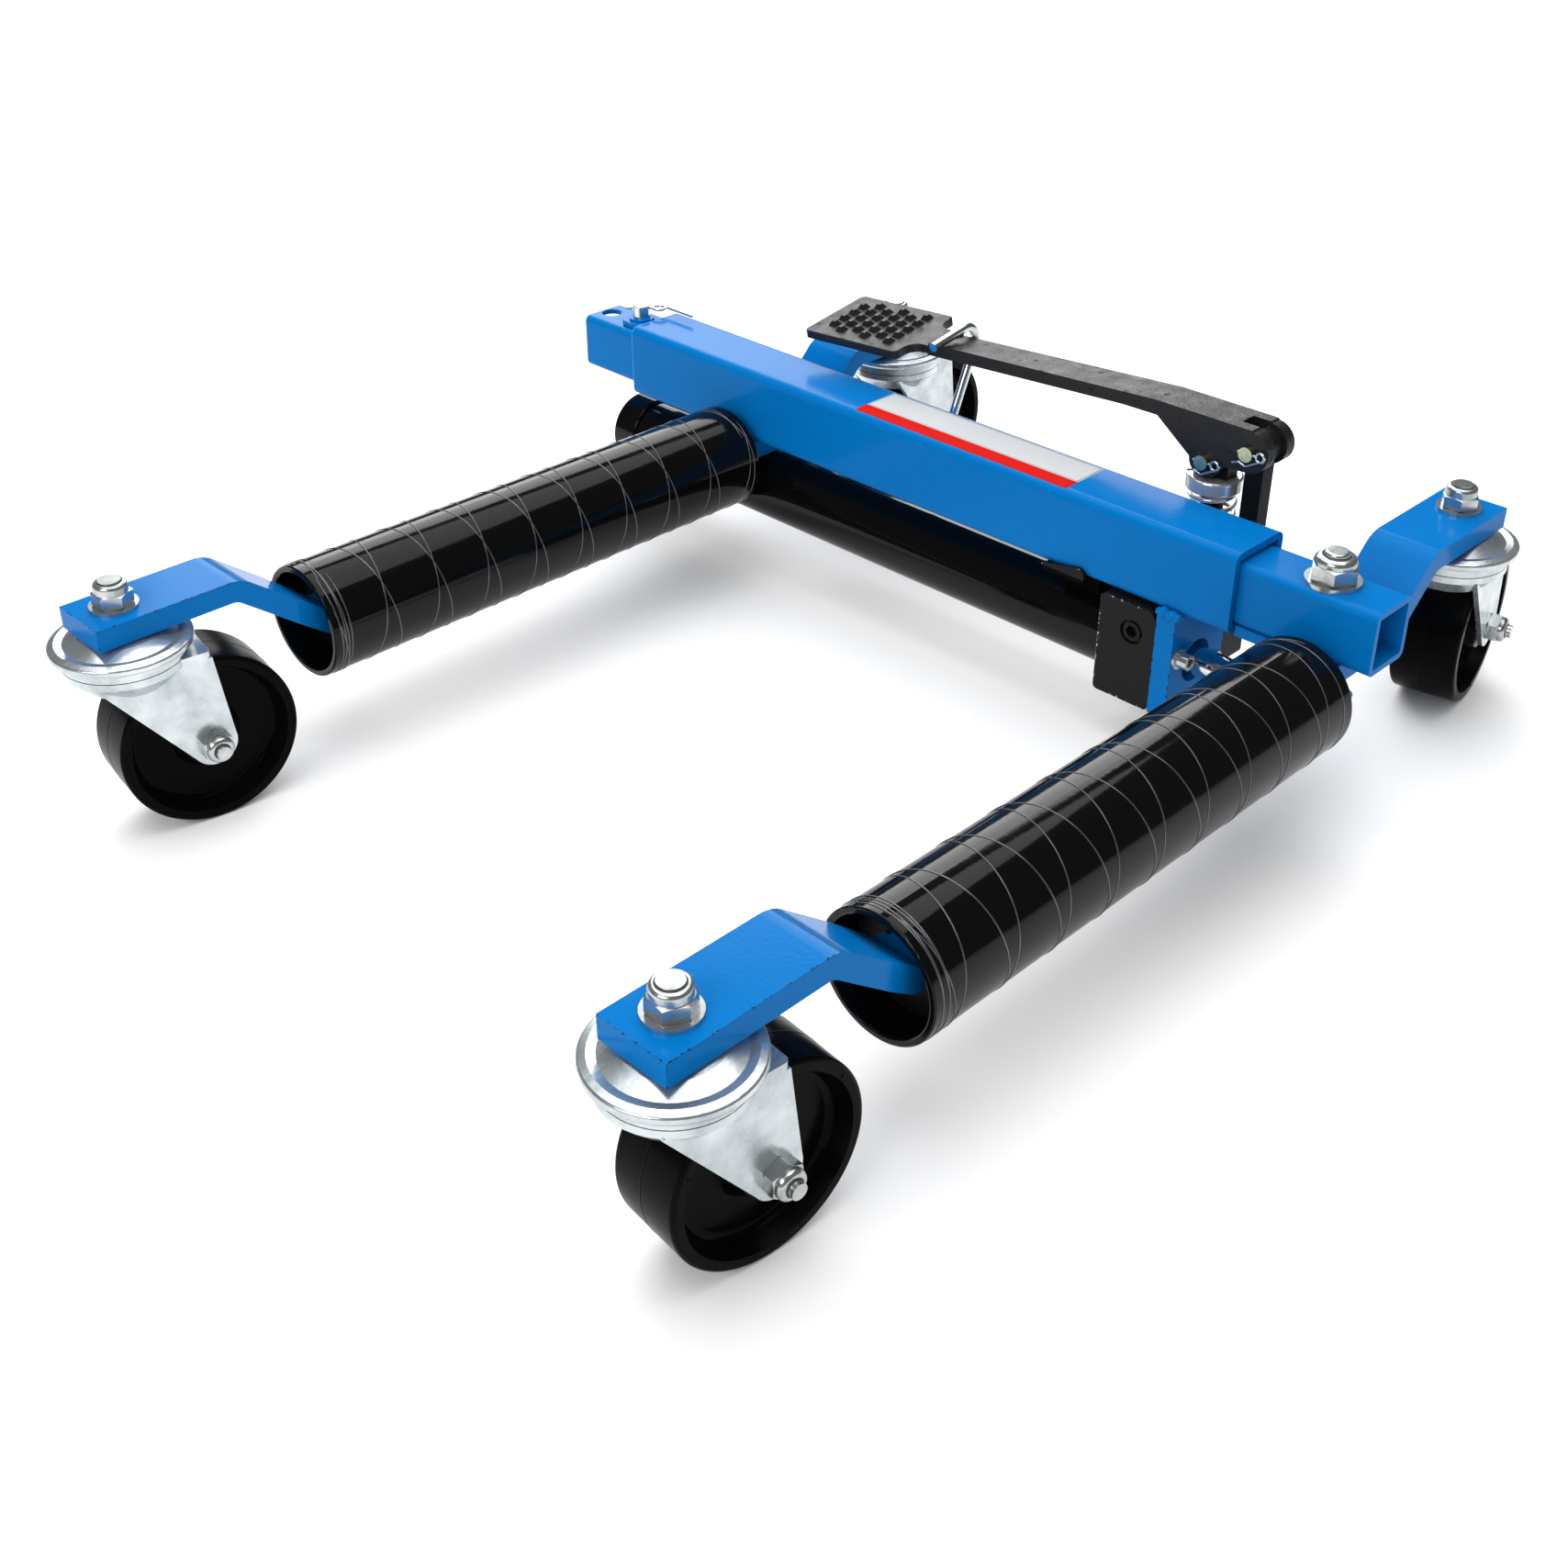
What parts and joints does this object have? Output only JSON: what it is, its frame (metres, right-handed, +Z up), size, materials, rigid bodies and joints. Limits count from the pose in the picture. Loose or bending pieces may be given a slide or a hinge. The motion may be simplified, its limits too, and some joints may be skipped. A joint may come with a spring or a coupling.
{
  "type": "vehicle positioning jack",
  "caption": "Low wheeled jack that goes round a car tyre: rollers on a telescopic beam with a pull cylinder, foot pump pedal and swivel casters.",
  "frame": {"origin": "middle of the footprint on the floor, with the jack closed", "axes": "+Z up, +X along the beam towards the sliding arm, +Y from the rollers towards the pedal side"},
  "size_m": [0.6518, 0.7478, 0.1918],
  "materials": {
    "blue_paint": "gloss paint with slight orange peel",
    "black_paint": "gloss black paint",
    "black_satin": "satin black, chipped edges",
    "black_cast": "black painted casting",
    "zinc": "bright zinc plate",
    "yellow_zinc": "yellow zinc plate",
    "chrome": "hard chrome",
    "steel": "turned steel",
    "bush": "oiled black nylon",
    "wheel": "moulded plastic"
  },
  "bodies": {
    "frame": {"outer_tube": "blue_paint", "left_cross_bar": "blue_paint", "left_front_arm": "blue_paint", "left_roller_shaft": "blue_paint", "left_kingpin_sets": "zinc", "left_caster_races": "zinc", "cylinder_tube": "black_paint", "cylinder_end_cap": "black_paint", "cylinder_saddle": "black_satin", "ram_gland": "bush", "valve_block": "black_satin", "block_plug": "black_satin", "ram_bracket": "blue_paint", "bracket_screws": "zinc", "pump_cylinder": "steel", "return_spring": "chrome", "link_pin": "yellow_zinc", "link_pin_clip": "zinc", "hook_catch": "blue_paint", "lock_keeper": "blue_paint"},
    "right_arm": {"inner_tube": "blue_paint", "stop_strip": "blue_paint", "ram_rod": "chrome", "piston": "steel", "ram_spacer": "black_satin", "arm_bolt": "zinc", "arm_nut": "zinc", "right_cross_bar": "blue_paint", "right_front_arm": "blue_paint", "right_roller_shaft": "blue_paint", "right_kingpin_sets": "zinc", "right_caster_races": "zinc"},
    "left_roller_body": {"left_roller": "black_paint", "left_roller_bushes": "bush"},
    "right_roller_body": {"right_roller": "black_paint", "right_roller_bushes": "bush"},
    "link": {"pedal_link": "black_satin"},
    "lever": {"pedal_lever": "black_cast", "lever_pins": "yellow_zinc", "lever_pin_clips": "zinc"},
    "hook": {"pedal_hook": "zinc"},
    "plunger": {"pump_plunger": "black_satin", "spring_cap": "chrome"},
    "lock": {"lock_pin": "yellow_zinc", "lock_clip": "zinc"},
    "valve": {"release_valve": "steel"},
    "left_front_swivel": {"left_front_fork": "zinc", "left_front_axle_set": "zinc"},
    "left_front_wheel_body": {"left_front_wheel": "wheel"},
    "left_rear_swivel": {"left_rear_fork": "zinc", "left_rear_axle_set": "zinc"},
    "left_rear_wheel_body": {"left_rear_wheel": "wheel"},
    "right_front_swivel": {"right_front_fork": "zinc", "right_front_axle_set": "zinc"},
    "right_front_wheel_body": {"right_front_wheel": "wheel"},
    "right_rear_swivel": {"right_rear_fork": "zinc", "right_rear_axle_set": "zinc"},
    "right_rear_wheel_body": {"right_rear_wheel": "wheel"}
  },
  "joints": [
    {"name": "arm_slide", "type": "slide", "parent": "frame", "child": "right_arm", "axis": [1, 0, 0], "range_m": [0, 0.2]},
    {"name": "left_roller_spin", "type": "hinge", "parent": "frame", "child": "left_roller_body", "pos_m": [-0.16526, -0.04995, 0.085], "axis": [0, 1, 0], "continuous": true},
    {"name": "right_roller_spin", "type": "hinge", "parent": "right_arm", "child": "right_roller_body", "pos_m": [0.28475, -0.04995, 0.085], "axis": [0, 1, 0], "continuous": true},
    {"name": "link_swing", "type": "hinge", "parent": "frame", "child": "link", "pos_m": [0.19714, 0.20005, 0.0849], "axis": [0, 1, 0], "range_deg": [-1, 3]},
    {"name": "pedal_swing", "type": "hinge", "parent": "link", "child": "lever", "pos_m": [0.19714, 0.20005, 0.1783], "axis": [0, 1, 0], "range_deg": [-1.7, 23.7]},
    {"name": "plunger_slide", "type": "slide", "parent": "frame", "child": "plunger", "axis": [0, 0, 1], "range_m": [-0.002, 0.0145], "deforming": ["return_spring"]},
    {"name": "hook_swing", "type": "hinge", "parent": "lever", "child": "hook", "pos_m": [-0.03376, 0.18705, 0.18], "axis": [1, 0, 0], "range_deg": [-5, 0]},
    {"name": "lock_pin_slide", "type": "slide", "parent": "frame", "child": "lock", "axis": [0, 0, 1], "range_m": [-0.0035, 0.03]},
    {"name": "release_valve_turn", "type": "hinge", "parent": "frame", "child": "valve", "pos_m": [0.16864, 0.22105, 0.0524], "axis": [0, 1, 0], "range_deg": [0, 180]},
    {"name": "left_front_swivel_turn", "type": "hinge", "parent": "frame", "child": "left_front_swivel", "pos_m": [-0.16526, -0.32695, 0.115], "axis": [0, 0, 1], "continuous": true},
    {"name": "left_front_wheel_spin", "type": "hinge", "parent": "left_front_swivel", "child": "left_front_wheel_body", "pos_m": [-0.16068, -0.29477, 0.0505], "axis": [0.99, -0.1409, 0], "continuous": true},
    {"name": "left_rear_swivel_turn", "type": "hinge", "parent": "frame", "child": "left_rear_swivel", "pos_m": [-0.16526, 0.28905, 0.115], "axis": [0, 0, 1], "continuous": true},
    {"name": "left_rear_wheel_spin", "type": "hinge", "parent": "left_rear_swivel", "child": "left_rear_wheel_body", "pos_m": [-0.16696, 0.3215, 0.0505], "axis": [0.9986, 0.0523, 0], "continuous": true},
    {"name": "right_front_swivel_turn", "type": "hinge", "parent": "right_arm", "child": "right_front_swivel", "pos_m": [0.28475, -0.33595, 0.115], "axis": [0, 0, 1], "continuous": true},
    {"name": "right_front_wheel_spin", "type": "hinge", "parent": "right_front_swivel", "child": "right_front_wheel_body", "pos_m": [0.28775, -0.30359, 0.0505], "axis": [0.9957, -0.0924, 0], "continuous": true},
    {"name": "right_rear_swivel_turn", "type": "hinge", "parent": "right_arm", "child": "right_rear_swivel", "pos_m": [0.27975, 0.28905, 0.115], "axis": [0, 0, 1], "continuous": true},
    {"name": "right_rear_wheel_spin", "type": "hinge", "parent": "right_rear_swivel", "child": "right_rear_wheel_body", "pos_m": [0.27371, 0.32099, 0.0505], "axis": [0.9826, 0.1857, 0], "continuous": true}
  ],
  "couplings": [
    {"joint": "link_swing", "follows": "pedal_swing", "ratio": 0.08389},
    {"joint": "plunger_slide", "follows": "pedal_swing", "m_per_rad": 0.033079}
  ]
}
